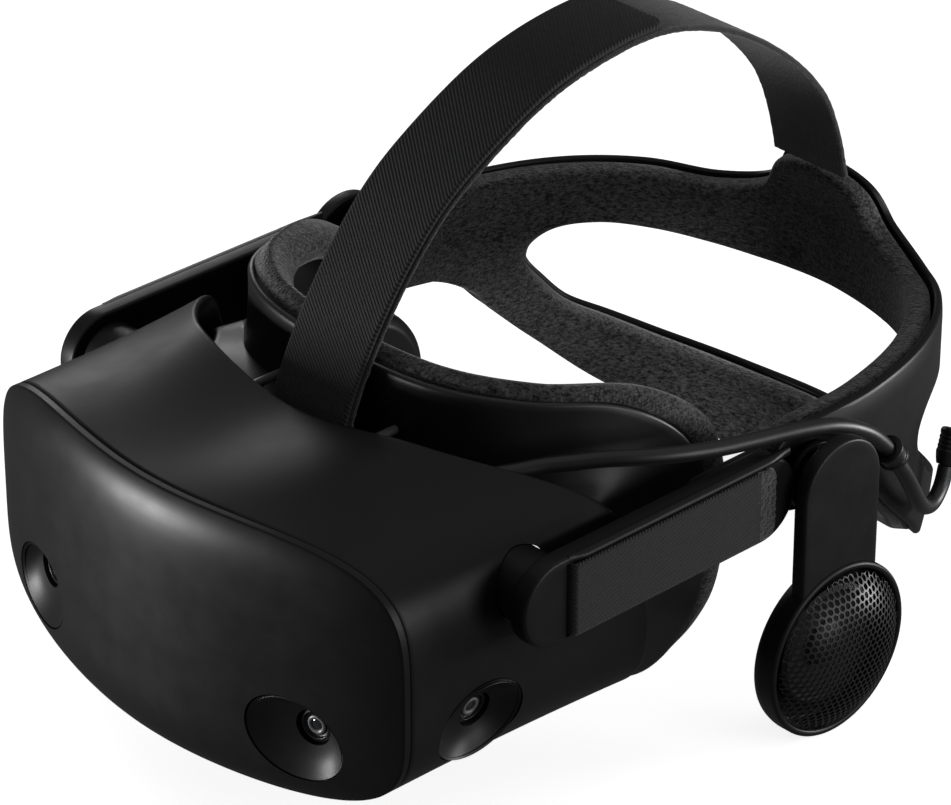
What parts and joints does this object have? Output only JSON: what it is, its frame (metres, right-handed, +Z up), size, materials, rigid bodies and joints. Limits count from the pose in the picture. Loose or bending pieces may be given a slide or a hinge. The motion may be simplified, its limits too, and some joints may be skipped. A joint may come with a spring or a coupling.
{
  "type": "vr headset",
  "caption": "Virtual reality headset: curved visor with tracking cameras, tilting on side arms, halo headband with top strap, and round speakers hanging beside the ears.",
  "frame": {"origin": "midway between the side arms at the wearer's temples, 2 mm below the visor's tilt axis, where the head holds the headset", "axes": "-Y is the front of the visor, +X the wearer's left, +Z up"},
  "size_m": [0.238, 0.2958, 0.1971],
  "materials": {
    "shell": "satin moulded plastic with a very fine grain",
    "trim": "smooth satin plastic",
    "inner": "matt black inner plastic",
    "webbing": "black twill and ribbed webbing with loop pile",
    "heather": "heather dark grey knitted fabric over foam",
    "grille": "black hexagonal mesh",
    "lens": "clear eye lens",
    "camera_glass": "dark coated camera lens",
    "steel": "plain steel",
    "board": "printed circuit board",
    "cord": "smooth matt rubber sheath"
  },
  "bodies": {
    "headband": {"side_arm_left": "shell", "side_arm_right": "shell", "hub_pin_left": "steel", "hub_pin_right": "steel", "band_plate_left": "shell", "band_plate_right": "shell", "side_strap_left": "webbing", "side_strap_right": "webbing", "speaker_mount_left": "shell", "speaker_mount_right": "shell", "halo_shell": "shell", "halo_pad": "heather", "top_strap": "webbing", "top_strap_fold": "webbing", "lead": "cord", "lead_clip": "trim", "lead_connector": "trim"},
    "visor": {"faceplate": "shell", "face_rim": "trim", "main_shell": "shell", "camera_dish_front_left": "shell", "camera_dish_front_right": "shell", "camera_dish_side_left": "shell", "camera_dish_side_right": "shell", "camera_front_left": "camera_glass", "camera_front_right": "camera_glass", "camera_side_left": "camera_glass", "camera_side_right": "camera_glass", "hub_boss_left": "shell", "hub_boss_right": "shell", "inner_frame": "inner", "main_board": "board", "strap_bar": "steel", "lead_boot": "trim"},
    "face_mask": {"gasket_frame": "trim", "gasket_cushion": "heather"},
    "lens_left": {"lens_barrel_left": "inner", "eye_lens_left": "lens", "display_left": "steel", "rack_left": "steel"},
    "lens_right": {"lens_barrel_right": "inner", "eye_lens_right": "lens", "display_right": "steel", "rack_right": "steel", "ipd_knob": "trim"},
    "ipd_gear": {"ipd_pinion": "steel"},
    "volume_down_button": {"volume_down": "trim"},
    "volume_up_button": {"volume_up": "trim"},
    "speaker_left": {"speaker_pivot_left": "trim", "speaker_arm_left": "shell", "speaker_drum_left": "shell", "speaker_driver_left": "steel", "speaker_grille_left": "grille"},
    "speaker_right": {"speaker_pivot_right": "trim", "speaker_arm_right": "shell", "speaker_drum_right": "shell", "speaker_driver_right": "steel", "speaker_grille_right": "grille"}
  },
  "joints": [
    {"name": "visor_tilt", "type": "hinge", "parent": "headband", "child": "visor", "pos_m": [0, 0, 0.002], "axis": [-1, 0, 0], "range_deg": [0, 90], "deforming": ["top_strap", "top_strap_fold", "lead"]},
    {"name": "ipd_slide", "type": "slide", "parent": "visor", "child": "lens_right", "axis": [-1, 0, 0], "range_m": [-0.002, 0.002]},
    {"name": "ipd_slide_left", "type": "slide", "parent": "visor", "child": "lens_left", "axis": [1, 0, 0], "range_m": [-0.002, 0.002]},
    {"name": "ipd_gear_turn", "type": "hinge", "parent": "visor", "child": "ipd_gear", "pos_m": [0, -0.04, -0.017], "axis": [0, 1, 0], "range_deg": [-30, 30]},
    {"name": "volume_down_press", "type": "slide", "parent": "visor", "child": "volume_down_button", "axis": [0, 0, 1], "range_m": [0, 0.0006], "stiffness_N_per_m": 1200, "springref_m": -0.0004},
    {"name": "volume_up_press", "type": "slide", "parent": "visor", "child": "volume_up_button", "axis": [0, 0, 1], "range_m": [0, 0.0006], "stiffness_N_per_m": 1200, "springref_m": -0.0004},
    {"name": "face_mask_off", "type": "slide", "parent": "visor", "child": "face_mask", "axis": [0, 1, 0], "range_m": [0, 0.03]},
    {"name": "speaker_swing_left", "type": "hinge", "parent": "headband", "child": "speaker_left", "pos_m": [0.102, 0.1085, -0.001], "axis": [-1, 0, 0], "range_deg": [-25, 40]},
    {"name": "speaker_swing_right", "type": "hinge", "parent": "headband", "child": "speaker_right", "pos_m": [-0.102, 0.1085, -0.001], "axis": [-1, 0, 0], "range_deg": [-25, 40]}
  ],
  "couplings": [
    {"joint": "ipd_slide_left", "follows": "ipd_slide", "ratio": 1},
    {"joint": "ipd_gear_turn", "follows": "ipd_slide", "rad_per_m": -250}
  ]
}
